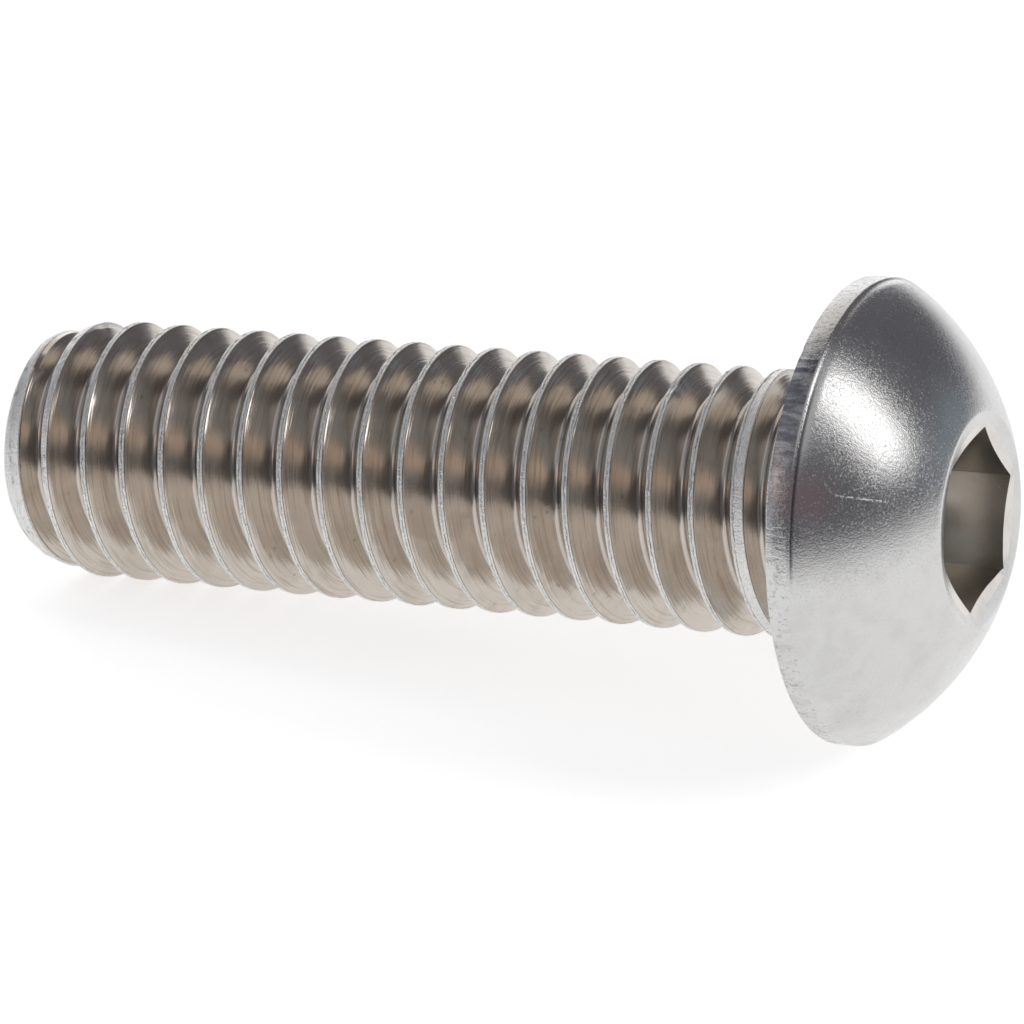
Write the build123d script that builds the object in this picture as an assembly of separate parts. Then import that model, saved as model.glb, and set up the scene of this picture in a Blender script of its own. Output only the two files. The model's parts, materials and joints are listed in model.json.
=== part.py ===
from build123d import *
from math import asin, atan, ceil, cos, degrees, hypot, radians, sin, tan
import os

# Button head socket cap screw, 3/8-16 coarse thread by 1-1/4 inch. All sizes are in millimetres.
# It is modelled standing on its tip, axis on Z and tip face at height zero. At the end it is laid
# down as it comes to rest, on the rim of the head and on the crest of the thread near the tip.

# Thread, sizes along the axis unless named otherwise
pitch = 1.5875
thread_d = 9.36
flank_angle = 60.0
crest_flat = 0.198
root_flat = 0.198
lead_in_turns = 1

# Shank: where the thread fades out below the head, and the rolled-over tip
shank_length = 31.75
runout_turns = 1.5
plain_neck_length = 0.5
neck_radius = 0.3
tip_reduction = 0.56
tip_taper_length = 2.2
tip_edge_radius = 0.3

# Head
head_d = 16.2
head_height = 4.5
rim_height = 0.8
top_land_width = 0.08

# Hexagon socket for a 7/32 inch key
key_size = 5.556
socket_depth = 3.15
socket_turn = 9.3
countersink_clearance = 0.45
countersink_angle = 150.0
point_angle = 120.0

# Lying at rest, how far the plane where the groove starts is turned from straight down
resting_turn = -34.0

# Cutters stand proud of the surface they cut by this much
cut_margin = 0.06

# Sizes that follow from the ones above
thread_r = thread_d / 2
head_r = head_d / 2
head_top = shank_length + head_height
rim_top = shank_length + rim_height
neck_top = shank_length - neck_radius
flank_slope = tan(radians(flank_angle / 2))
groove_depth = (pitch - crest_flat - root_flat) / 2 / flank_slope
full_thread_top = shank_length - plain_neck_length - runout_turns * pitch
countersink_r = key_size / 2 / cos(radians(30)) + countersink_clearance


def dome_middle(outer, inner):
    """The middle point of the dome's arc, on a ball centred on the screw's axis."""
    rise = inner[1] - outer[1]
    drop = (outer[0] ** 2 - inner[0] ** 2 - rise**2) / (2 * rise)
    ball_r = hypot(outer[0], drop)
    angle = (atan(drop / outer[0]) + asin((drop + rise) / ball_r)) / 2
    return (ball_r * cos(angle), outer[1] - drop + ball_r * sin(angle))


def head():
    """The head from its under-side fillet up, as a full solid without its socket."""
    rim_corner = (head_r, rim_top)
    land_corner = (countersink_r + top_land_width, head_top)
    with BuildPart() as turned:
        with BuildSketch(Plane.XZ) as half:
            with BuildLine():
                inside = Polyline(land_corner, (0, head_top), (0, neck_top), (thread_r, neck_top))
                neck = JernArc(inside @ 1, (0, 1), neck_radius, -90)
                Polyline(neck @ 1, (head_r, shank_length), rim_corner)
                ThreePointArc(rim_corner, dome_middle(rim_corner, land_corner), land_corner)
            make_face()
        revolve(axis=Axis.Z)
    return turned.part


def pointed_form():
    """The form that the shank is held to: a rounded and tapered tip, then plain to the head."""
    tip_r = thread_r - tip_reduction
    outside = thread_r + cut_margin
    with BuildPart() as turned:
        with BuildSketch(Plane.XZ) as half:
            with BuildLine():
                Polyline(
                    (0, 0),
                    (tip_r, 0),
                    (thread_r, tip_taper_length),
                    (outside, tip_taper_length),
                    (outside, neck_top),
                    (0, neck_top),
                    close=True,
                )
            make_face()
        revolve(axis=Axis.Z)
        tip = turned.edges().filter_by(GeomType.CIRCLE).sort_by(Axis.Z)[0]
        fillet(tip, tip_edge_radius)
    return turned.part


def groove_section():
    """One V of the thread in the plane of the axis, its mouth just outside the shank."""
    floor_half = root_flat / 2
    mouth_half = (pitch - crest_flat) / 2 + cut_margin * flank_slope
    with BuildSketch(Plane.XZ) as section:
        with BuildLine():
            Polyline(
                (thread_r - groove_depth, -floor_half),
                (thread_r + cut_margin, -mouth_half),
                (thread_r + cut_margin, mouth_half),
                (thread_r - groove_depth, floor_half),
                close=True,
            )
        make_face()
    return section.sketch


def full_groove():
    """The right-hand groove at full depth, from its lead-in below the tip, a turn at a time."""
    lead_in = lead_in_turns * pitch
    height = full_thread_top + lead_in
    spans = ceil(height / pitch)
    span = height / spans
    one_turn = Edge.make_helix(pitch, span, thread_r)
    spiral = Wire(
        Pos(0, 0, n * span) * Rot(0, 0, n * span / pitch * 360) * one_turn
        for n in range(spans)
    )
    cutter = sweep(groove_section(), spiral, is_frenet=True)
    return Pos(0, 0, -lead_in) * cutter


def runout_groove():
    """The end of the groove, which climbs out of the shank on a cone below the head."""
    height = runout_turns * pitch
    cone = degrees(atan((groove_depth + cut_margin) / height))
    # On a cone the pitch is counted along the slope
    spiral = Edge.make_helix(pitch / cos(radians(cone)), height, thread_r, angle=cone)
    core = Edge.make_line((0, 0, 0), (0, 0, height))
    cutter = sweep(groove_section(), spiral, binormal=core)
    turned_so_far = (full_thread_top / pitch + lead_in_turns) * 360
    return Pos(0, 0, full_thread_top) * Rot(0, 0, turned_so_far) * cutter


def key_socket():
    """The hexagon, the cone of its punch at the floor and the countersink at its mouth."""
    countersink_depth = countersink_r / tan(radians(countersink_angle / 2))
    point_depth = key_size / 2 / tan(radians(point_angle / 2))
    with BuildPart() as punch:
        with BuildSketch(Plane.XY.offset(head_top - socket_depth)):
            RegularPolygon(key_size / 2, 6, major_radius=False, rotation=socket_turn)
        extrude(amount=socket_depth + cut_margin)
        with BuildSketch(Plane.XZ):
            with BuildLine():
                Polyline(
                    (0, head_top - socket_depth - point_depth),
                    (key_size / 2, head_top - socket_depth),
                    (0, head_top - socket_depth),
                    close=True,
                )
            make_face()
            with BuildLine():
                Polyline(
                    (0, head_top - countersink_depth),
                    (countersink_r, head_top),
                    (countersink_r, head_top + cut_margin),
                    (0, head_top + cut_margin),
                    close=True,
                )
            make_face()
        revolve(axis=Axis.Z)
    return punch.part


def threaded_shank():
    """The rolled shank: both grooves cut in a plain rod, which is then pointed."""
    rod = Cylinder(thread_r, neck_top, align=(Align.CENTER, Align.CENTER, Align.MIN))
    rod = rod - full_groove()
    rod = rod - runout_groove()
    return rod & pointed_form()


def screw():
    """The whole screw, standing on its tip."""
    return threaded_shank() + head() - key_socket()


def laid_down(body):
    """The screw at rest on its side: head towards +X, the middle of its box over the origin."""
    # The crest that carries the tip is the first whole one that faces down
    crest_foot = (pitch - crest_flat) / 2 - pitch * resting_turn / 360
    crests_before = ceil((tip_taper_length - crest_foot) / pitch)
    foot = crest_foot + crests_before * pitch
    lift = degrees(atan((head_r - thread_r) / (shank_length - foot)))
    lying = Rot(0, 90 - lift, 0) * Rot(0, 0, resting_turn) * body
    box = lying.bounding_box()
    return Pos(-box.center().X, -box.center().Y, -box.min.Z) * lying


os.makedirs("parts", exist_ok=True)
export_step(laid_down(screw()), "parts/screw.step")
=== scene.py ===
import bpy
import json
from math import asin, atan, atan2, ceil, cos, hypot, pi, radians, sin, tan
from mathutils import Matrix, Vector, noise


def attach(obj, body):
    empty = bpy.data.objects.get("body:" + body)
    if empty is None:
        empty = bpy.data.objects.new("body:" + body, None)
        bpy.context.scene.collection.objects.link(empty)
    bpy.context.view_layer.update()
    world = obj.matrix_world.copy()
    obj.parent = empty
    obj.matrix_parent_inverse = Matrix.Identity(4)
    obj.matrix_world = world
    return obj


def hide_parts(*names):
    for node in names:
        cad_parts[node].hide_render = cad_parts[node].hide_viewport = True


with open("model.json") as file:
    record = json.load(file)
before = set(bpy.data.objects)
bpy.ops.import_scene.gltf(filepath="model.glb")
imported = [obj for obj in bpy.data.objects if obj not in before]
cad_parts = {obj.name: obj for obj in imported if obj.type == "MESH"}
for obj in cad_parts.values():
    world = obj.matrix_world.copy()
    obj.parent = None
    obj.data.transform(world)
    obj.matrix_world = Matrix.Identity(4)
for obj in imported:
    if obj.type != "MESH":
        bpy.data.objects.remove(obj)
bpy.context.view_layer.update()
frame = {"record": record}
mm = 0.001
weld = 0.002 * mm      # points closer than this count as one


def clearSelection():
    if bpy.context.object and bpy.context.object.mode != "OBJECT":
        bpy.ops.object.mode_set(mode="OBJECT")
    bpy.ops.object.select_all(action="DESELECT")


def makeActive(piece):
    clearSelection()
    piece.select_set(True)
    bpy.context.view_layer.objects.active = piece


def selectVerts(piece, test):
    # leaves edit mode, picks the vertices by their place and goes back in
    bpy.ops.object.mode_set(mode="OBJECT")
    for edge in piece.data.edges:
        edge.select = False
    for face in piece.data.polygons:
        face.select = False
    for vert in piece.data.vertices:
        vert.select = bool(test(vert.co))
    bpy.ops.object.mode_set(mode="EDIT")
    bpy.ops.mesh.select_mode(type="VERT")


def selectOpenEdges(piece, test):
    # the edges with a face on one side only, where they pass the test
    bpy.ops.object.mode_set(mode="EDIT")
    bpy.ops.mesh.select_mode(type="EDGE")
    bpy.ops.mesh.select_all(action="DESELECT")
    bpy.ops.mesh.select_non_manifold(extend=False, use_wire=False, use_boundary=True,
                                     use_multi_face=False, use_non_contiguous=False,
                                     use_verts=False)
    bpy.ops.object.mode_set(mode="OBJECT")
    for edge in piece.data.edges:
        if edge.select and not test(piece.data.vertices[edge.vertices[0]].co):
            edge.select = False
    bpy.ops.object.mode_set(mode="EDIT")


def startOutline(name, first):
    # one vertex, made from a small plane, that the outline is then drawn from
    clearSelection()
    bpy.ops.mesh.primitive_plane_add(size=mm, location=(0, 0, 0))
    piece = bpy.context.object
    piece.name = name
    bpy.ops.object.mode_set(mode="EDIT")
    bpy.ops.mesh.select_mode(type="VERT")
    bpy.ops.mesh.select_all(action="SELECT")
    bpy.ops.mesh.merge(type="CENTER")
    bpy.ops.transform.translate(value=first)
    return piece


def drawOutline(piece, points):
    for here, there in zip(points, points[1:]):
        bpy.ops.mesh.extrude_vertices_move(
            TRANSFORM_OT_translate={"value": Vector(there) - Vector(here)})


def roundCorner(piece, corner, size, segments):
    spot = Vector(corner)
    selectVerts(piece, lambda co: (co - spot).length < weld)
    bpy.ops.mesh.bevel(offset=size, offset_type="OFFSET", segments=segments, affect="VERTICES")


def cutAt(height, **clear):
    bpy.ops.mesh.select_all(action="SELECT")
    bpy.ops.mesh.bisect(plane_co=(0, 0, height), plane_no=(0, 0, 1), threshold=1e-7, **clear)


def mergeDoubles():
    bpy.ops.mesh.select_all(action="SELECT")
    bpy.ops.mesh.remove_doubles(threshold=weld)


def standTurned(piece, angle):
    # turned about the upright axis, with the turn kept in the mesh
    piece.rotation_euler = (0, 0, angle)
    makeActive(piece)
    bpy.ops.object.transform_apply(location=False, rotation=True, scale=False)


def near(value, wanted, slack=weld):
    return abs(value - wanted) < slack


def turnFrom(angle, middle):
    # the angle from the middle, between minus and plus half a turn
    return (angle - middle + pi) % (2 * pi) - pi


def faded(value):
    return max(0.0, min(1.0, value))


# the rolled shank, worked on upright with its tip at height zero
thread = {
    "pitch": 1.5875 * mm,
    "radius": 4.68 * mm,
    "crestFlat": 0.198 * mm,
    "rootFlat": 0.198 * mm,
    "flankSlope": tan(radians(30)),
    "startTurn": radians(-34.0),
    "shankLength": 31.75 * mm,
    "plainNeck": 0.5 * mm,
    "runoutTurns": 1.5,
    "runoutOver": 0.06 * mm,   # how far past the skin the groove climbs below the head
    "tipIn": 0.56 * mm,
    "tipTaper": 2.2 * mm,
    "tipRound": 0.3 * mm,
    "roundRings": (0.08, 0.25, 0.5, 0.85),   # rings in the rounded edge of the tip
    "faceRings": (0.93, 0.8, 0.7, 0.5),      # each ring of the end face in the one before
    "hollow": 0.09 * mm,       # of the end face
    "steps": 196,              # round the shank
    "rootRound": 0.06 * mm,
    "crestRound": 0.03 * mm,
    "foldDepth": 0.018 * mm,   # the fold that rolling leaves along the crest
    "foldWidth": 0.06 * mm,
    "cutStart": 1.4,           # crests are cut clean above this many times tipRound
    "wornEdge": 0.1 * mm,      # how far down the flank the wear reaches
    "crestFade": 0.06 * mm,    # depth below the skin that still counts as crest
    "crestWear": 0.03 * mm,    # how rough the crest is
    "wearSizes": (3.1, 8.9),   # noise per mm, large bites and small ones
    "flankWear": 0.4,          # share of the wear on the flank's side of the crest
    "tipWear": 0.6,            # more of it near the tip
    "crestWander": 0.02 * mm,
    "wanderSize": 4.1,
    "crestJags": 0.04 * mm,
    "jagSizes": (17.0, 15.0),  # inward and along the screw
    "cutHeight": 31.32 * mm,   # where the shank is joined to the neck of the head
    # angle, height, size and depth of a chip in a crest
    "chip": (radians(-169.1), 25.736 * mm, 0.3 * mm, 0.16 * mm),
}
thread["depth"] = ((thread["pitch"] - thread["crestFlat"] - thread["rootFlat"]) / 2
                   / thread["flankSlope"])
thread["fullTop"] = (thread["shankLength"] - thread["plainNeck"]
                     - thread["runoutTurns"] * thread["pitch"])


def threadOutline():
    # one pitch from groove middle to groove middle, in the XZ plane
    t = thread
    root = t["radius"] - t["depth"]
    middle = t["pitch"] / 2

    def crestEnd(side, down=0.0):
        # the end of the crest, or a point of the flank below it, where the wear stops
        return (t["radius"] - down, 0,
                middle + side * (t["crestFlat"] / 2 + down * t["flankSlope"]))

    points = [
        (root, 0, 0),
        (root, 0, t["rootFlat"] / 2),
        crestEnd(-1, t["wornEdge"]),
        crestEnd(-1),
        (t["radius"], 0, middle - t["foldWidth"] / 2),
        (t["radius"] - t["foldDepth"], 0, middle),
        (t["radius"], 0, middle + t["foldWidth"] / 2),
        crestEnd(1),
        crestEnd(1, t["wornEdge"]),
        (root, 0, t["pitch"] - t["rootFlat"] / 2),
        (root, 0, t["pitch"]),
    ]
    points = [Vector((x, y, z - 2 * t["pitch"])) for x, y, z in points]
    piece = startOutline("shank", points[0])
    drawOutline(piece, points)
    for ends in ((points[2], points[1]), (points[8], points[9])):   # a row halfway down each flank
        selectVerts(piece, lambda co: any((co - end).length < weld for end in ends))
        bpy.ops.mesh.subdivide(number_cuts=1)
    for corner in (points[1], points[9]):
        roundCorner(piece, corner, t["rootRound"], 2)
    for corner in (points[3], points[7]):
        roundCorner(piece, corner, t["crestRound"], 2)
    bpy.ops.object.mode_set(mode="OBJECT")
    return piece


def tipForm(z):
    # radius that the rolled-over tip allows at this height
    t = thread
    z = max(z, 0.0)
    if z >= t["tipTaper"]:
        return t["radius"]
    tipRadius = t["radius"] - t["tipIn"]
    slope = t["tipIn"] / t["tipTaper"]
    lean = atan(slope)
    r = t["tipRound"]
    if z < r - r * sin(lean):
        return tipRadius - r * tan((pi / 2 - lean) / 2) + (r * r - (r - z) ** 2) ** 0.5
    return tipRadius + slope * z


def slideDown(grooveHeight, side, lift, z):
    # where the flank, raised by lift, comes out of the skin: radius and height, or None
    t = thread
    root = t["radius"] - t["depth"] + lift
    skin = tipForm(z)
    for _ in range(4):
        place = grooveHeight + side * (t["rootFlat"] / 2 + (skin - root) * t["flankSlope"])
        skin = tipForm(place)
    share = min(1.0, place / t["tipRound"] - t["cutStart"])   # less of it down at the tip's edge
    if skin < root or share <= 0:
        return None
    place = z + share * (place - z)
    return min(skin, tipForm(place)), place


def wornCrest(vert, wanted, angle, z, onFlank):
    # bites, jags and the chip: the new radius, with the point moved along the screw as well
    t = thread
    spot = Vector((cos(angle) * t["radius"], sin(angle) * t["radius"], z)) / mm
    worn = t["flankWear"] if onFlank else 1.0 + t["tipWear"] * (z < 4 * mm)
    large, small = t["wearSizes"]
    bite = noise.noise(spot * large) + 0.8 * noise.noise(spot * small)
    wanted -= t["crestWear"] * worn * max(0.0, bite)
    vert.co.z += t["crestWander"] * worn * noise.noise(spot * t["wanderSize"] + Vector((7, 3, 1)))
    if not onFlank:
        inward, along = t["jagSizes"]
        wanted -= t["crestJags"] * max(0.0, noise.noise(spot * inward))
        vert.co.z += t["crestJags"] * noise.noise(spot * along + Vector((2, 8, 5)))
    chipAngle, chipHeight, chipSize, chipDepth = t["chip"]
    turned = turnFrom(angle, chipAngle - t["startTurn"])
    reach = hypot(turned * t["radius"], z - chipHeight) / chipSize
    return wanted - chipDepth * max(0.0, 1 - reach)


def shapeShank(piece):
    # the groove climbs out below the head, the tip is drawn in and the crests are left rough
    t = thread
    flankHalf = (t["pitch"] - t["crestFlat"]) / 2 + 0.01 * mm
    crest = piece.data.attributes.new("crest", "FLOAT", "POINT")   # 1 where the rod's skin is left
    for vert in piece.data.vertices:
        x, y, z = vert.co
        r = hypot(x, y)
        angle = atan2(y, x)
        across = (z / t["pitch"] - angle / (2 * pi) + 0.5) % 1.0 - 0.5   # 0 at the groove's middle
        grooveHeight = z - across * t["pitch"]
        rise = (grooveHeight - t["fullTop"]) / (t["runoutTurns"] * t["pitch"])
        lift = max(0.0, rise) * (t["depth"] + t["runoutOver"])
        wanted = r + lift
        skin = tipForm(z)
        onFlank = abs(across) * t["pitch"] < flankHalf
        met = None
        if wanted > skin and onFlank and t["cutStart"] * t["tipRound"] < z < t["cutHeight"] - 1e-6:
            met = slideDown(grooveHeight, 1 if across > 0 else -1, lift, z)
        if met:
            skin, z = met
            vert.co.z = z
        wanted = min(wanted, skin)
        crest.data[vert.index].value = max(0.0, 1 - (skin - wanted) / t["crestFade"])
        nearSkin = wanted > skin - t["crestFade"]
        if nearSkin and not met and 0.05 * mm < z < t["cutHeight"] - 0.1 * mm:
            wanted = wornCrest(vert, wanted, angle, z, onFlank)
        vert.co.x = x * wanted / r
        vert.co.y = y * wanted / r


def closeTip(piece):
    # the end face, drawn in ring by ring and left a little hollow
    selectOpenEdges(piece, lambda co: near(co.z, 0))
    for share in thread["faceRings"]:
        bpy.ops.mesh.extrude_edges_move(TRANSFORM_OT_translate={"value": (0, 0, 0)})
        bpy.ops.transform.resize(value=(share, share, 1), center_override=(0, 0, 0))
    bpy.ops.mesh.extrude_edges_move(TRANSFORM_OT_translate={"value": (0, 0, 0)})
    bpy.ops.mesh.merge(type="CENTER")
    bpy.ops.object.mode_set(mode="OBJECT")
    rim = tipForm(0)
    for vert in piece.data.vertices:
        if near(vert.co.z, 0):
            r = hypot(vert.co.x, vert.co.y)
            vert.co.z = thread["hollow"] * max(0.0, 1 - (r / rim) ** 2) ** 2


def makeShank():
    t = thread
    piece = threadOutline()
    makeActive(piece)
    bpy.ops.object.modifier_add(type="SCREW")
    winding = piece.modifiers[-1]
    winding.axis = "Z"
    winding.angle = 2 * pi
    winding.steps = winding.render_steps = t["steps"]
    winding.screw_offset = t["pitch"]
    winding.iterations = ceil(t["shankLength"] / t["pitch"]) + 3
    winding.use_merge_vertices = False
    winding.use_normal_calculate = True
    bpy.ops.object.modifier_apply(modifier=winding.name)
    bpy.ops.object.mode_set(mode="EDIT")
    mergeDoubles()
    cutAt(0, clear_inner=True)
    cutAt(t["cutHeight"], clear_outer=True)
    for share in t["roundRings"]:
        cutAt(t["tipRound"] * share)
    bpy.ops.object.mode_set(mode="OBJECT")
    shapeShank(piece)
    bpy.ops.object.mode_set(mode="EDIT")
    mergeDoubles()   # flank points that met where the crest was cut
    closeTip(piece)
    standTurned(piece, t["startTurn"])
    return piece


shank = makeShank()
print("shank:", len(shank.data.vertices), "points")


# the button head with its hexagon socket
head = {
    "radius": 8.1 * mm,
    "height": 4.5 * mm,
    "rim": 0.8 * mm,
    "neckRound": 0.3 * mm,
    "neckLoop": 31.4 * mm,
    "edgeRound": 0.05 * mm,
    "ridgeRound": 0.06 * mm,
    "domeRows": 26,
    "lipWidth": 0.022,             # share of the dome's arc
    "lipDepth": 0.035 * mm,
    "land": 0.08 * mm,
    "steps": 180,
    "keySize": 5.556 * mm,
    "socketDepth": 3.15 * mm,
    "socketTurn": radians(35.3),
    "sinkClearance": 0.45 * mm,
    "sinkSlope": radians(15),      # of the shallow countersink
    "pointSlope": radians(30),     # of the punched floor
    "pinhole": 0.05 * mm,          # left at the floor's point while the outline is spun
    "landRound": 0.03 * mm,
    "wallRows": 6,
    # angle, height, length, width and depth of a nick in the rim
    "nick": (radians(-156.0), 31.97 * mm, 0.45 * mm, 0.12 * mm, 0.05 * mm),
    "rimInside": 7.5 * mm,
    # the stretch of the rim painted dark as a painted reflection of dark surroundings, and how far
    # it takes to fade at each end
    "paintedDarkReflection": (radians(-156.0), radians(-106.0)),
    "paintedDarkReflectionFade": (radians(3), radians(22)),
    # the stretch of the crease painted dark as painted shade, and its fades
    "paintedCreaseShade": (radians(-156.0), radians(-95.0)),
    "paintedCreaseShadeFade": (radians(14), radians(6)),
    # the mouth's rough side: middle, half width, and how far the metal stands up and out
    "burr": (radians(31.0), radians(26.0), 0.035 * mm, 0.03 * mm),
}
head["base"] = thread["shankLength"]
head["top"] = head["base"] + head["height"]
head["corner"] = head["keySize"] / 2 / cos(radians(30))
head["sinkRadius"] = head["corner"] + head["sinkClearance"]
head["wallTop"] = head["top"] - head["sinkClearance"] * tan(head["sinkSlope"])


def domePoints():
    # an arc from the ridge to the land, its ball centred on the axis
    outer = (head["radius"], head["base"] + head["rim"])
    inner = (head["sinkRadius"] + head["land"], head["top"])
    rise = inner[1] - outer[1]
    drop = (outer[0] ** 2 - inner[0] ** 2 - rise ** 2) / (2 * rise)
    ball = hypot(outer[0], drop)
    low, high = atan(drop / outer[0]), asin((drop + rise) / ball)
    rows = head["domeRows"]
    # a shallow crease that the upsetting left inside the ridge
    a = low + (high - low) * head["lipWidth"]
    lipBall = ball - head["lipDepth"]
    yield (lipBall * cos(a), 0, outer[1] - drop + lipBall * sin(a))
    for k in range(1, rows + 1):
        a = low + (high - low) * k / rows
        yield (ball * cos(a), 0, outer[1] - drop + ball * sin(a))


def headOutline():
    h = head
    floor = h["top"] - h["socketDepth"]
    pointDrop = h["keySize"] / 2 * tan(h["pointSlope"])
    points = [(thread["radius"], 0, h["neckLoop"]), (thread["radius"], 0, h["base"]),
              (h["radius"], 0, h["base"]), (h["radius"], 0, h["base"] + h["rim"] / 2),
              (h["radius"], 0, h["base"] + h["rim"])]
    points += list(domePoints())
    landOuter = len(points) - 1
    points.append((h["sinkRadius"], 0, h["top"]))
    points.append(((h["sinkRadius"] + h["corner"]) / 2, 0, (h["top"] + h["wallTop"]) / 2))
    for k in range(h["wallRows"] + 1):
        points.append((h["corner"], 0, h["wallTop"] + (floor - h["wallTop"]) * k / h["wallRows"]))
    points.append((h["keySize"] / 2, 0, floor))
    points.append((h["keySize"] / 4, 0, floor - pointDrop / 2))
    points.append((h["pinhole"], 0, floor - pointDrop))
    piece = startOutline("head", points[0])
    drawOutline(piece, points)
    roundCorner(piece, points[1], h["neckRound"], 6)
    roundCorner(piece, points[2], h["edgeRound"], 2)
    roundCorner(piece, points[4], h["ridgeRound"], 3)
    roundCorner(piece, points[landOuter], h["landRound"], 2)
    roundCorner(piece, points[landOuter + 1], h["landRound"], 2)
    return piece


def shapeHead(piece):
    h = head
    nickAngle, nickHeight, nickLength, nickWidth, nickDepth = h["nick"]
    burrAngle, burrHalf, burrUp, burrOut = h["burr"]
    mouthSlope = tan(h["sinkSlope"])
    mouthMiddle = (h["sinkRadius"] + h["corner"]) / 2
    for vert in piece.data.vertices:
        x, y, z = vert.co
        r = hypot(x, y)
        if near(r, 0):
            continue
        a = atan2(y, x)
        off = (a + pi / 6) % (pi / 3) - pi / 6   # from the nearest corner of the hexagon
        side = h["keySize"] / 2 / cos(pi / 6 - abs(off))
        wanted = r
        onWall = near(r, h["corner"], 0.01 * mm) and z < h["wallTop"] + 0.01 * mm
        halfWay = near(r, mouthMiddle, 0.01 * mm) and z > h["wallTop"] + 0.01 * mm
        if onWall:   # the round well is pressed out to the hexagon
            wanted = side
        if halfWay:
            wanted = (h["sinkRadius"] + side) / 2
        if halfWay or onWall and near(z, h["wallTop"], 0.01 * mm):
            vert.co.z = h["top"] - (h["sinkRadius"] - wanted) * mouthSlope
            away = abs(turnFrom(a, burrAngle - h["socketTurn"])) / burrHalf
            if away < 1:   # metal torn by the punch on one side of the mouth
                spot = Vector((x, y, z)) / mm
                vert.co.z += burrUp * (1 - away) * noise.noise(spot * 3.7)
                wanted += burrOut * (1 - away) * noise.noise(spot * 5.1 + Vector((2, 5, 9)))
        turned = turnFrom(a, nickAngle - h["socketTurn"])
        slant = turned * h["radius"] * 0.8 + (z - nickHeight)
        along = turned * h["radius"] * 0.6 - (z - nickHeight) * 0.8
        if r > h["rimInside"] + 0.1 * mm and abs(slant) < nickWidth and abs(along) < nickLength:
            wanted -= nickDepth
        vert.co.x = x * wanted / r
        vert.co.y = y * wanted / r


def makeHead():
    piece = headOutline()
    bpy.ops.mesh.select_all(action="SELECT")
    bpy.ops.mesh.spin(steps=head["steps"], angle=2 * pi, center=(0, 0, 0), axis=(0, 0, 1))
    mergeDoubles()
    selectVerts(piece, lambda co: hypot(co.x, co.y) < head["pinhole"] + 0.01 * mm)
    bpy.ops.mesh.merge(type="CENTER")
    bpy.ops.object.mode_set(mode="OBJECT")
    shapeHead(piece)
    standTurned(piece, head["socketTurn"])
    return piece


headPiece = makeHead()
print("head:", len(headPiece.data.vertices), "points")


def joinScrew():
    makeActive(shank)
    headPiece.select_set(True)
    bpy.ops.object.join()
    shank.name = shank.data.name = "steelScrew"
    selectOpenEdges(shank, lambda co: co.z > 31 * mm)   # the two ends that meet in the neck
    bpy.ops.mesh.bridge_edge_loops()
    bpy.ops.mesh.select_all(action="SELECT")
    bpy.ops.mesh.normals_make_consistent(inside=False)
    bpy.ops.object.mode_set(mode="OBJECT")
    return shank


def markPlaces(piece):
    # for the finishes: how far up the flank a point is, where the rim is, and where the rim's
    # painted dark reflection and the crease's painted shade go
    t, h = thread, head
    names = ("flank", "rim", "paintedDarkReflection", "paintedCreaseShade")
    for name in names:
        piece.data.attributes.new(name, "FLOAT", "POINT")
    flank, rim, paintedDarkReflection, paintedCreaseShade = (piece.data.attributes[name].data for name in names)
    crease = next(domePoints())

    def along(turned, stretch, fade):
        return faded(min((turned - stretch[0]) / fade[0], (stretch[1] - turned) / fade[1]))

    for vert in piece.data.vertices:
        x, y, z = vert.co
        r, turned = hypot(x, y), atan2(y, x)
        across = (z / t["pitch"] - (turned - t["startTurn"]) / (2 * pi)) % 1.0
        flank[vert.index].value = 1 - abs(across - 0.5) * 2
        inBand = h["base"] - 1e-6 < z < h["base"] + h["rim"] - 0.03 * mm
        # the rim band; one stretch of it gets a painted dark reflection
        if inBand and r > h["rimInside"]:
            rim[vert.index].value = 1.0
            paintedDarkReflection[vert.index].value = along(turned, h["paintedDarkReflection"], h["paintedDarkReflectionFade"])
        # painted shade along the crease, over part of the way round
        if near(r, crease[0], 0.005 * mm) and near(z, crease[2], 0.005 * mm):
            paintedCreaseShade[vert.index].value = along(turned, h["paintedCreaseShade"], h["paintedCreaseShadeFade"])


def layDown(piece):
    # laid on its rim and thread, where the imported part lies; its bearing face is the first mount
    seat = frame["record"]["mounts"][0]
    lift = asin(-seat["axis"][2])
    turn = Matrix.Rotation(pi / 2 - lift, 4, "Y")
    place = Matrix.Translation(Vector(seat["pos_m"]) - turn @ Vector((0, 0, head["base"])))
    piece.data.transform(place @ turn)
    return place @ turn


screw = joinScrew()
markPlaces(screw)
lying = layDown(screw)   # takes the upright screw to where it lies
makeActive(screw)
bpy.ops.object.shade_smooth_by_angle(angle=radians(35))
# weighted, so that the small bevels don't bend the flanks' shading
bpy.ops.object.modifier_add(type="WEIGHTED_NORMAL")
screw.modifiers[-1].keep_sharp = True
bpy.ops.object.modifier_apply(modifier=screw.modifiers[-1].name)
print("screw:", len(screw.data.polygons), "faces")


def addNode(tree, kind, inputs, **settings):
    # a node with its settings; an input is a plain value or another node's output
    node = tree.nodes.new(kind)
    for name, value in settings.items():
        setattr(node, name, value)
    for socket, value in inputs.items():
        if isinstance(value, bpy.types.NodeSocket):
            tree.links.new(value, node.inputs[socket])
        else:
            node.inputs[socket].default_value = value
    return node


def mathNode(tree, operation, a, b=0.0, clamp=False):
    return addNode(tree, "ShaderNodeMath", {0: a, 1: b},
                   operation=operation, use_clamp=clamp).outputs[0]


def between(tree, value, low, high):
    # 0 below low and 1 above high
    return addNode(tree, "ShaderNodeMapRange", {"Value": value, "From Min": low, "From Max": high},
                   interpolation_type="SMOOTHSTEP").outputs["Result"]


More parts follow.
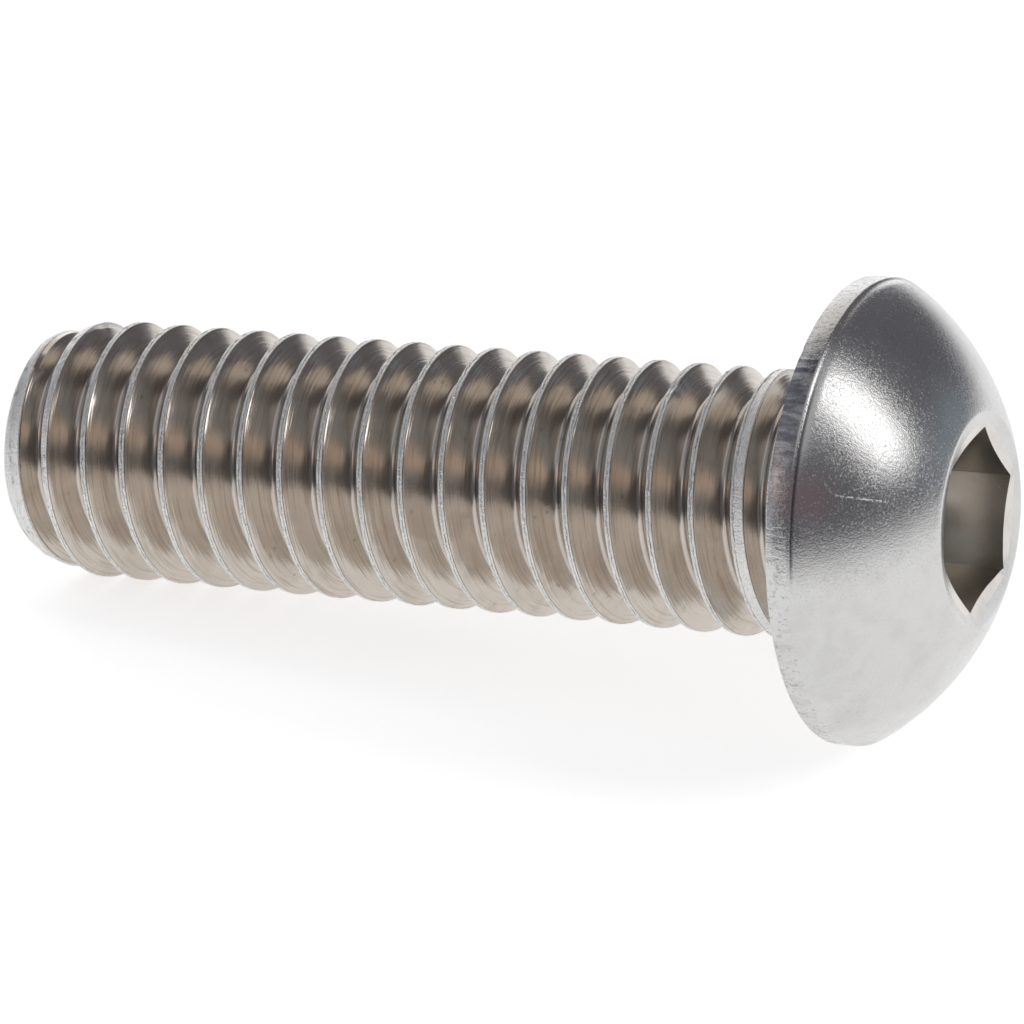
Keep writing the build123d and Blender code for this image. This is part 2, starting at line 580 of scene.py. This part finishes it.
def mixColour(tree, share, a, b):
    return addNode(tree, "ShaderNodeMix", {0: share, 6: a, 7: b}, data_type="RGBA").outputs[2]


def timesNode(tree, a, b):
    return mathNode(tree, "MULTIPLY", a, b)


def opposite(tree, mask):
    return mathNode(tree, "SUBTRACT", 1.0, mask)


def bumpNode(tree, distance, height, **under):
    return addNode(tree, "ShaderNodeBump", {"Strength": 1.0, "Distance": distance, "Height": height,
                                            **under}).outputs[0]


def newGroup(name, inputs, outputs):
    group = bpy.data.node_groups.new(name, "ShaderNodeTree")
    for socket, kind, value in inputs:
        made = group.interface.new_socket(socket, in_out="INPUT", socket_type="NodeSocket" + kind)
        if value is not None:
            made.default_value = value
    for socket, kind in outputs:
        group.interface.new_socket(socket, in_out="OUTPUT", socket_type="NodeSocket" + kind)
    given, out = group.nodes.new("NodeGroupInput"), group.nodes.new("NodeGroupOutput")
    return group, given.outputs, out.inputs


def makeTumbledGrain():
    # the fine orange peel that tumbling leaves: a height, and the flecks that stand out in it
    group, given, out = newGroup(
        "tumbledGrain",
        [("Vector", "Vector", None), ("Scale", "Float", 5000.0), ("Fleck Share", "Float", 0.3),
         ("Fleck Depth", "Float", 0.3)],
        [("Height", "Float"), ("Fleck", "Float")])
    coarse = addNode(group, "ShaderNodeTexNoise", {
        "Vector": given["Vector"], "Scale": given["Scale"],
        "Detail": 3.0, "Roughness": 0.65, "Distortion": 0.3}).outputs["Fac"]
    finer = addNode(group, "ShaderNodeTexNoise", {
        "Vector": given["Vector"], "Scale": timesNode(group, given["Scale"], 2.7),
        "Detail": 1.0, "Roughness": 0.5}).outputs["Fac"]
    # the larger the share, the lower the peaks that become flecks
    low = mathNode(group, "SUBTRACT", 0.74, timesNode(group, given["Fleck Share"], 0.3))
    fleck = mathNode(group, "MULTIPLY", mathNode(group, "SUBTRACT", coarse, low), 9.0, clamp=True)
    height = mathNode(group, "ADD", coarse, timesNode(group, finer, 0.45))
    height = mathNode(group, "SUBTRACT", height, timesNode(group, fleck, given["Fleck Depth"]))
    group.links.new(height, out["Height"])
    group.links.new(fleck, out["Fleck"])
    return group


def makeSteelTone():
    # a steel colour with soft cloudy stains and fine dark specks
    group, given, out = newGroup(
        "steelTone",
        [("Vector", "Vector", None), ("Colour", "Color", (0.6, 0.6, 0.6, 1)),
         ("Stain", "Color", (0.5, 0.48, 0.45, 1)), ("Stain Amount", "Float", 0.5),
         ("Speck Amount", "Float", 0.5)],
        [("Colour", "Color"), ("Dirt", "Float")])
    cloud = addNode(group, "ShaderNodeTexNoise", {
        "Vector": given["Vector"], "Scale": 620.0,
        "Detail": 4.0, "Roughness": 0.6, "Distortion": 0.4}).outputs["Fac"]
    stained = mathNode(group, "MULTIPLY", between(group, cloud, 0.42, 0.68),
                       given["Stain Amount"], clamp=True)
    tinted = mixColour(group, stained, given["Colour"], given["Stain"])
    dots = addNode(group, "ShaderNodeTexVoronoi", {
        "Vector": given["Vector"], "Scale": 2100.0, "Randomness": 1.0}).outputs["Distance"]
    speck = timesNode(group, opposite(group, between(group, dots, 0.1, 0.2)),
                      between(group, cloud, 0.5, 0.62))   # specks only within the stains
    speck = mathNode(group, "MULTIPLY", speck, given["Speck Amount"], clamp=True)
    group.links.new(mixColour(group, speck, tinted, (0.1, 0.085, 0.07, 1)), out["Colour"])
    group.links.new(speck, out["Dirt"])
    return group


def makeDrawnStreaks():
    # fine lines that run round the screw, along the thread: the place across them is an attribute
    group, given, out = newGroup(
        "drawnStreaks",
        [("Vector", "Vector", None), ("Across", "Float", 0.0), ("Lines", "Float", 30.0)],
        [("Height", "Float"), ("Line", "Float")])
    parts = addNode(group, "ShaderNodeSeparateXYZ", {"Vector": given["Vector"]})
    slow = [timesNode(group, parts.outputs[k], 420.0) for k in range(3)]   # per metre
    across = timesNode(group, given["Across"], given["Lines"])
    where = addNode(group, "ShaderNodeCombineXYZ", {0: across, 1: slow[1], 2: slow[2]}).outputs[0]
    lines = addNode(group, "ShaderNodeTexNoise", {
        "Vector": where, "W": slow[0], "Scale": 1.0,
        "Detail": 2.0, "Roughness": 0.6}, noise_dimensions="4D").outputs["Fac"]
    group.links.new(lines, out["Height"])
    group.links.new(between(group, lines, 0.48, 0.68), out["Line"])
    return group


tumbledGrain = makeTumbledGrain()
steelTone = makeSteelTone()
drawnStreaks = makeDrawnStreaks()


def placeGroup(tree, group, inputs):
    return addNode(tree, "ShaderNodeGroup", inputs, node_tree=group).outputs


def placeTone(tree, place, finish):
    return placeGroup(tree, steelTone, {
        "Vector": place, "Colour": finish["colour"], "Stain": finish["stain"],
        "Stain Amount": finish["stainAmount"], "Speck Amount": finish["speckAmount"]})


def newSteel(name):
    material = bpy.data.materials.new(name)
    material.use_nodes = True
    tree = material.node_tree
    tree.nodes.clear()
    place = addNode(tree, "ShaderNodeTexCoord", {}).outputs["Object"]
    shader = addNode(tree, "ShaderNodeBsdfPrincipled", {"Metallic": 1.0})
    addNode(tree, "ShaderNodeOutputMaterial", {"Surface": shader.outputs[0]})
    return material, tree, place, shader


def attribute(tree, name):
    return addNode(tree, "ShaderNodeAttribute", {}, attribute_name=name).outputs["Fac"]


def alongScrew(tree, place, stretch):
    # a pattern's place, turned to the screw's own axis and drawn out along it
    upright = addNode(tree, "ShaderNodeMapping", {"Vector": place,
                                                  "Rotation": (0, -lying.to_euler().y, 0)})
    return addNode(tree, "ShaderNodeMapping", {"Vector": upright.outputs[0],
                                               "Scale": (1, 1, stretch)}).outputs[0]


def lineMask(tree, place, start, end, width):
    # 1 on a hairline drawn over the dome between two places, fading to 0 at its width and ends
    a, b = Vector(start) * mm, Vector(end) * mm
    middle = lying @ Vector((0, 0, head["base"]))
    side = (a - middle).cross(b - middle).normalized()
    long = (b - a).length

    def fromStart(way):
        offset = addNode(tree, "ShaderNodeVectorMath", {0: place, 1: a}, operation="SUBTRACT")
        return addNode(tree, "ShaderNodeVectorMath", {0: offset.outputs[0], 1: way},
                       operation="DOT_PRODUCT").outputs["Value"]

    along = fromStart((b - a) / long)
    gap = mathNode(tree, "ABSOLUTE", fromStart(side))
    ends = timesNode(tree, between(tree, along, 0.0, 0.2 * long),
                     opposite(tree, between(tree, along, 0.8 * long, long)))
    return timesNode(tree, opposite(tree, between(tree, gap, 0.3 * width, width)), ends)


headFinish = {
    "colour": (0.63, 0.625, 0.615, 1),
    "stain": (0.53, 0.525, 0.51, 1),
    "stainAmount": 0.5,
    "speckAmount": 0.1,
    "grainScale": 10500.0,      # per metre
    "grainHeight": 0.009 * mm,
    "fleckShare": 0.55,
    "fleckDepth": 0.3,
    "fleckColour": (0.8, 0.79, 0.78, 1),
    "roughness": 0.19,
    "fleckRoughness": 0.17,
    "pitScale": 6200.0,
    "pitColour": (0.25, 0.24, 0.24, 1),
    "pitRoughness": 0.2,
    "streakScale": 3600.0,      # of the lines in the rim
    "streakStretch": 0.25,      # how far they run along the screw
    "streakColour": (0.3, 0.28, 0.3, 1),
    # painted dark reflection on the rim
    "paintedDarkReflectionColour": (0.16, 0.145, 0.175, 1),
    # painted shade in the crease inside the ridge
    "paintedCreaseShadeColour": (0.07, 0.065, 0.08, 1),
    "scratch": ((14.93, -6.47, 11.77), (16.68, -4.9, 11.1)),   # ends of a hairline, in mm
    "scratchWidth": 0.026 * mm,
    "scratchColour": (0.8, 0.8, 0.8, 1),
    "heatSpot": (14.385, -6.931, 11.721),                      # a faint reddish stain, in mm
    "heatReach": (0.2 * mm, 1.3 * mm),
    "heatColour": (0.95, 0.68, 0.66, 1),
}


def headSteel():
    f = headFinish
    material, tree, place, shader = newSteel("headSteel")
    grain = placeGroup(tree, tumbledGrain, {
        "Vector": place, "Scale": f["grainScale"],
        "Fleck Share": f["fleckShare"], "Fleck Depth": f["fleckDepth"]})
    rim = attribute(tree, "rim")
    pits = addNode(tree, "ShaderNodeTexNoise", {
        "Vector": place, "Scale": f["pitScale"], "Detail": 3.0, "Roughness": 0.65}).outputs["Fac"]
    lines = addNode(tree, "ShaderNodeTexNoise", {
        "Vector": alongScrew(tree, place, f["streakStretch"]), "Scale": f["streakScale"],
        "Detail": 2.0, "Roughness": 0.6}).outputs["Fac"]
    streak = timesNode(tree, rim, between(tree, lines, 0.5, 0.66))
    pitted = timesNode(tree, rim, between(tree, pits, 0.54, 0.68))
    # painted dark reflection on the rim, broken up along the rim's lines
    patchyDarkReflection = timesNode(tree, attribute(tree, "paintedDarkReflection"), between(tree, lines, 0.7, 0.42))   # patchy
    scratch = timesNode(tree, lineMask(tree, place, *f["scratch"], f["scratchWidth"]),
                        between(tree, pits, 0.42, 0.56))   # broken up, as a light scratch is
    spot = addNode(tree, "ShaderNodeVectorMath", {0: place, 1: Vector(f["heatSpot"]) * mm},
                   operation="DISTANCE").outputs["Value"]
    heat = opposite(tree, between(tree, spot, *f["heatReach"]))
    colour = placeTone(tree, place, f)["Colour"]
    # the rim's dark band here is a painted dark reflection
    for mask, share, over in ((grain["Fleck"], 0.15, "fleckColour"), (heat, 0.6, "heatColour"),
                              (patchyDarkReflection, 0.85, "paintedDarkReflectionColour"), (streak, 0.2, "streakColour"),
                              (pitted, 0.35, "pitColour"),
                              # painted shade along the crease
                              (attribute(tree, "paintedCreaseShade"), 0.9, "paintedCreaseShadeColour"),
                              (scratch, 0.15, "scratchColour")):
        colour = mixColour(tree, timesNode(tree, mask, share), colour, f[over])
    tree.links.new(colour, shader.inputs["Base Color"])
    rough = mathNode(tree, "ADD", f["roughness"], timesNode(tree, pitted, f["pitRoughness"]))
    rough = mathNode(tree, "ADD", rough, timesNode(tree, grain["Fleck"], f["fleckRoughness"]))
    tree.links.new(rough, shader.inputs["Roughness"])
    height = grain["Height"]
    for mask in (pitted, streak, scratch):
        height = mathNode(tree, "SUBTRACT", height, timesNode(tree, mask, 0.5))
    tree.links.new(bumpNode(tree, f["grainHeight"], height), shader.inputs["Normal"])
    return material


threadFinish = {
    "colour": (0.615, 0.565, 0.51, 1),
    "stain": (0.47, 0.415, 0.36, 1),
    "stainAmount": 0.45,
    "speckAmount": 0.3,
    "crestColour": (0.74, 0.735, 0.72, 1),
    "lineColour": (0.43, 0.36, 0.29, 1),
    "rootColour": (0.45, 0.42, 0.4, 1),
    "lines": 16.0,              # up each flank
    "lineHeight": 0.009 * mm,
    "crestGrainScale": 10500.0,
    "crestGrainHeight": 0.04 * mm,
    "crestPit": (0.33, 0.32, 0.31, 1),
    "roughness": 0.16,
    "lineRoughness": 0.08,
    "crestRoughness": 0.22,
}


def threadSteel():
    f = threadFinish
    material, tree, place, shader = newSteel("threadSteel")
    flank = attribute(tree, "flank")   # 0 at the root, 1 at the crest
    onCrest = between(tree, attribute(tree, "crest"), 0.5, 0.8)
    inRoot = opposite(tree, between(tree, flank, 0.08, 0.3))
    streaks = placeGroup(tree, drawnStreaks, {"Vector": place, "Across": flank,
                                              "Lines": f["lines"]})
    grain = placeGroup(tree, tumbledGrain, {"Vector": place, "Scale": f["crestGrainScale"],
                                            "Fleck Share": 0.5})
    colour = mixColour(tree, timesNode(tree, streaks["Line"], 0.6),
                       placeTone(tree, place, f)["Colour"], f["lineColour"])
    colour = mixColour(tree, timesNode(tree, inRoot, 0.3), colour, f["rootColour"])
    pitted = mixColour(tree, timesNode(tree, grain["Fleck"], 0.7), f["crestColour"], f["crestPit"])
    tree.links.new(mixColour(tree, onCrest, colour, pitted), shader.inputs["Base Color"])
    rough = addNode(tree, "ShaderNodeMix", {0: onCrest, 2: f["roughness"], 3: f["crestRoughness"]})
    spread = timesNode(tree, streaks["Height"], f["lineRoughness"])
    tree.links.new(mathNode(tree, "ADD", rough.outputs[0], spread), shader.inputs["Roughness"])
    fine = bumpNode(tree, f["lineHeight"], streaks["Height"])
    coarse = bumpNode(tree, f["crestGrainHeight"], timesNode(tree, grain["Height"], onCrest),
                      Normal=fine)
    tree.links.new(coarse, shader.inputs["Normal"])
    return material


socketFinish = {
    "colour": (0.68, 0.65, 0.61, 1),
    "stain": (0.52, 0.5, 0.46, 1),
    "stainAmount": 0.6,
    "speckAmount": 0.2,
    "roughness": 0.2,
    "fleckRoughness": 0.1,
    "grainScale": 5000.0,
    "grainHeight": 0.0015 * mm,
    "stretch": 0.4,            # how far the punch drew the grain out along the socket
}


def socketSteel():
    f = socketFinish
    material, tree, place, shader = newSteel("socketSteel")
    drawn = alongScrew(tree, place, f["stretch"])
    grain = placeGroup(tree, tumbledGrain, {"Vector": drawn, "Scale": f["grainScale"]})
    tree.links.new(placeTone(tree, drawn, f)["Colour"], shader.inputs["Base Color"])
    rough = mathNode(tree, "ADD", f["roughness"],
                     timesNode(tree, grain["Fleck"], f["fleckRoughness"]))
    tree.links.new(rough, shader.inputs["Roughness"])
    tree.links.new(bumpNode(tree, f["grainHeight"], grain["Height"]), shader.inputs["Normal"])
    return material


def putFinishes(piece):
    piece.data.materials.clear()
    for finish in (threadSteel(), headSteel(), socketSteel()):
        piece.data.materials.append(finish)
    upright = lying.inverted()
    for face in piece.data.polygons:
        c = upright @ face.center
        inWell = hypot(c.x, c.y) < head["corner"] + 0.02 * mm
        if inWell and head["base"] < c.z < head["wallTop"] + 0.03 * mm:
            face.material_index = 2
        else:
            face.material_index = 1 if c.z > head["base"] - 0.2 * mm else 0


putFinishes(screw)
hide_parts("screw")
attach(screw, "root")
print("finishes ready")


# a white table with dark surroundings, so that the steel shows both
studio = {
    "floorColour": (0.86, 0.86, 0.86, 1),
    "floorGlow": 0.66,                       # what the camera and the steel see added to the floor
    "surroundings": (0.135, 0.133, 0.148),
    "distance": 0.5,
    # name, azimuth, elevation, width, height, how bright it is in a mirror, colour
    "lamps": [
        ("rightBox", 7, 42, 0.13, 0.35, 3.0, (1, 1, 1)),
        ("backBox", 120, 11, 0.5, 0.28, 1.2, (1, 1, 1)),
        ("highBackBox", 122, 43, 0.42, 0.26, 0.8, (1, 0.96, 0.9)),
        ("topBox", -65, 72, 0.45, 0.45, 0.4, (1, 1, 1)),
        ("greyCard", -161, 31, 0.8, 0.55, 0.33, (0.78, 0.9, 1.0)),
        ("leftCard", -137, 29, 0.32, 0.14, 0.62, (1.0, 0.7, 0.5)),
        ("blueCard", 40, 11, 0.34, 0.12, 0.2, (0.6, 0.86, 1.0)),
    ],
}


def makeFloor():
    clearSelection()
    bpy.ops.mesh.primitive_plane_add(size=6, location=(0, 0, 0))
    floor = bpy.context.object
    floor.name = "floor"
    material = bpy.data.materials.new("paleFloor")
    material.use_nodes = True
    tree = material.node_tree
    tree.nodes.clear()
    path = addNode(tree, "ShaderNodeLightPath", {}).outputs
    seen = mathNode(tree, "MAXIMUM", path["Is Camera Ray"], path["Is Glossy Ray"])
    seen = mathNode(tree, "MAXIMUM", seen, path["Is Transmission Ray"])
    glow = addNode(tree, "ShaderNodeEmission",
                   {"Strength": mathNode(tree, "MULTIPLY", seen, studio["floorGlow"])})
    flat = addNode(tree, "ShaderNodeBsdfDiffuse", {"Color": studio["floorColour"]})
    both = addNode(tree, "ShaderNodeAddShader", {0: flat.outputs[0], 1: glow.outputs[0]})
    addNode(tree, "ShaderNodeOutputMaterial", {"Surface": both.outputs[0]})
    floor.data.materials.append(material)


def makeWorld():
    world = bpy.data.worlds.new("studio")
    bpy.context.scene.world = world
    world.use_nodes = True
    background = world.node_tree.nodes["Background"].inputs
    background["Color"].default_value = (*studio["surroundings"], 1)
    background["Strength"].default_value = 1.0


def softBox(name, azimuth, elevation, width, height, mirrored, colour):
    lampData = bpy.data.lights.new(name, "AREA")
    lampData.shape = "RECTANGLE"
    lampData.size, lampData.size_y = width, height
    lampData.energy = mirrored * pi * width * height
    lampData.color = colour
    lamp = bpy.data.objects.new(name, lampData)
    bpy.context.scene.collection.objects.link(lamp)
    a, e = radians(azimuth), radians(elevation)
    way = Vector((cos(a) * cos(e), sin(a) * cos(e), sin(e)))
    lamp.location = way * studio["distance"]
    lamp.rotation_euler = way.to_track_quat("Z", "Y").to_euler()


# the camera, fitted to the outline in the photograph
camera = {
    "azimuth": radians(25.18),
    "elevation": radians(25.91),
    "roll": radians(-0.247),
    "target": Vector((-2.2253, 0, 6.2067)) * mm,
    "targetPixel": (447.12, 475.93),   # where it falls in the picture
    "pixel": mm / 28.149,              # size of a picture point at the target
    "focalPixels": 6389.0,
    "pictureWidth": 1024,
    "sensor": 36.0,
}


def makeCamera():
    c = camera
    a, e, roll = c["azimuth"], c["elevation"], c["roll"]
    back = Vector((sin(a) * cos(e), -cos(a) * cos(e), sin(e)))
    right = Vector((cos(a), sin(a), 0))
    up = back.cross(right)
    right, up = right * cos(roll) + up * sin(roll), up * cos(roll) - right * sin(roll)
    across, down = (n - c["pictureWidth"] / 2 for n in c["targetPixel"])
    spot = c["target"] + (up * down - right * across + back * c["focalPixels"]) * c["pixel"]
    camData = bpy.data.cameras.new("camera")
    cam = bpy.data.objects.new("camera", camData)
    bpy.context.scene.collection.objects.link(cam)
    cam.matrix_world = Matrix.Translation(spot) @ Matrix((right, up, back)).transposed().to_4x4()
    camData.sensor_width = c["sensor"]
    camData.lens = c["sensor"] * c["focalPixels"] / c["pictureWidth"]
    camData.clip_start = 0.01
    camData.clip_end = 10
    bpy.context.scene.camera = cam


makeFloor()
makeWorld()
for lampValues in studio["lamps"]:
    softBox(*lampValues)
makeCamera()
bpy.context.scene.view_settings.view_transform = "Standard"
print("studio ready")

bpy.context.view_layer.update()
